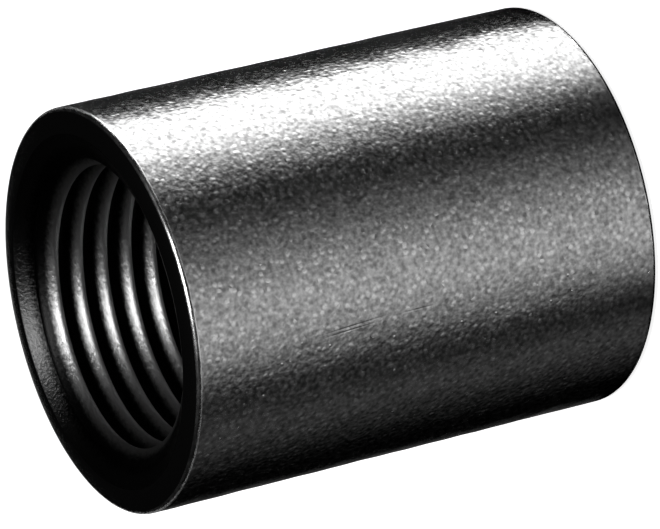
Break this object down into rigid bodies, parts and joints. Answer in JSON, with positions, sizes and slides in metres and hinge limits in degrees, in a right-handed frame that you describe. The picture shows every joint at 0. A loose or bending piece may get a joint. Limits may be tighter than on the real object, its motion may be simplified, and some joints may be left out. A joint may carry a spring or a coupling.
{
  "type": "pipe socket",
  "caption": "Short round steel sleeve with an internal parallel pipe thread right through and a countersunk mouth at each end, for joining pipe ends.",
  "frame": {"origin": "centre of the lower rim, on the surface that the socket stands on", "axes": "+Z along the bore, out of the upper mouth; X and Y lie across the bore"},
  "size_m": [0.027, 0.027, 0.0344],
  "materials": {
    "steel": "as-cast pebbled outside, machined rims and thread"
  },
  "bodies": {
    "root": {"socket_body": "steel"}
  },
  "joints": []
}
